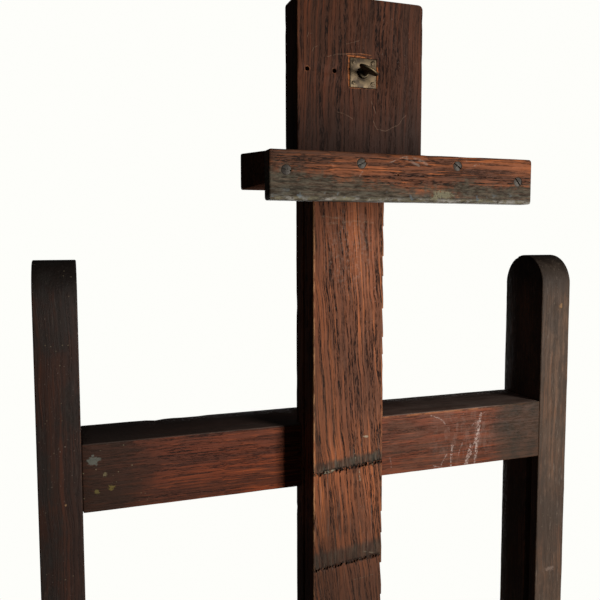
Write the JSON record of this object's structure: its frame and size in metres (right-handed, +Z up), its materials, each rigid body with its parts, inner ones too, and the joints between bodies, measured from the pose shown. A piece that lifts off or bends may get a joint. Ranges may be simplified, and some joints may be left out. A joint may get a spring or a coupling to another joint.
{
  "type": "wooden artist easel",
  "caption": "Oak studio easel: round-topped posts on runner feet, a sliding mast, and an upper and a lower canvas holder locked by thumbscrews.",
  "frame": {"origin": "on the floor, under the middle of the easel's outline", "axes": "+X to the right seen from the front, the front with its ledges faces -Y, +Z up"},
  "size_m": [0.601, 0.64, 1.6296],
  "materials": {
    "oak": "old dark stained oak, satin, worn",
    "ledge_oak": "old stained oak, satin, paint-stained",
    "brass": "aged brass",
    "iron": "dark aged iron"
  },
  "bodies": {
    "frame": {"left_post": "oak", "right_post": "oak", "upper_rail": "oak", "lower_rail": "oak", "left_foot": "oak", "right_foot": "oak", "left_brace": "oak", "right_brace": "oak", "rear_stretcher": "oak", "coach_bolts": "iron", "coach_washers": "iron", "foot_pegs": "oak", "brace_screws": "iron", "mast_bolt": "iron", "mast_washer": "iron"},
    "mast": {"mast": "oak", "carriage": "oak", "carriage_screws": "iron"},
    "head": {"head_board": "oak", "head_left_cheek": "oak", "head_right_cheek": "oak", "head_cheek_screws": "iron", "head_ledge": "ledge_oak", "head_ledge_screws": "iron", "head_lip": "ledge_oak", "head_lip_screws": "iron", "head_screw_plate": "brass", "head_plate_screws": "brass"},
    "tray": {"tray_board": "oak", "tray_left_cheek": "oak", "tray_right_cheek": "oak", "tray_cheek_screws": "iron", "tray_ledge": "ledge_oak", "tray_ledge_screws": "iron", "tray_lip": "ledge_oak", "tray_lip_screws": "iron", "tray_screw_plate": "brass", "tray_plate_screws": "brass"},
    "head_thumbscrew": {"head_thumbscrew": "brass"},
    "tray_thumbscrew": {"tray_thumbscrew": "brass"},
    "wing_nut": {"wing_nut": "iron"}
  },
  "joints": [
    {"name": "mast_slide", "type": "slide", "parent": "frame", "child": "mast", "axis": [0, 0, 1], "range_m": [-0.15, 0.5]},
    {"name": "head_slide", "type": "slide", "parent": "mast", "child": "head", "axis": [0, 0, 1], "range_m": [-0.3, 0.03]},
    {"name": "tray_slide", "type": "slide", "parent": "mast", "child": "tray", "axis": [0, 0, 1], "range_m": [-0.2, 0.4]},
    {"name": "head_thumbscrew_turn", "type": "hinge", "parent": "head", "child": "head_thumbscrew", "pos_m": [-0.0046, -0.137, 1.565], "axis": [0, -1, 0], "range_deg": [0, 300]},
    {"name": "tray_thumbscrew_turn", "type": "hinge", "parent": "tray", "child": "tray_thumbscrew", "pos_m": [-0.0046, -0.137, 0.535], "axis": [0, -1, 0], "range_deg": [0, 300]},
    {"name": "wing_nut_turn", "type": "hinge", "parent": "frame", "child": "wing_nut", "pos_m": [-0.0026, 0.008, 1.202], "axis": [0, 1, 0], "range_deg": [0, 300]}
  ]
}
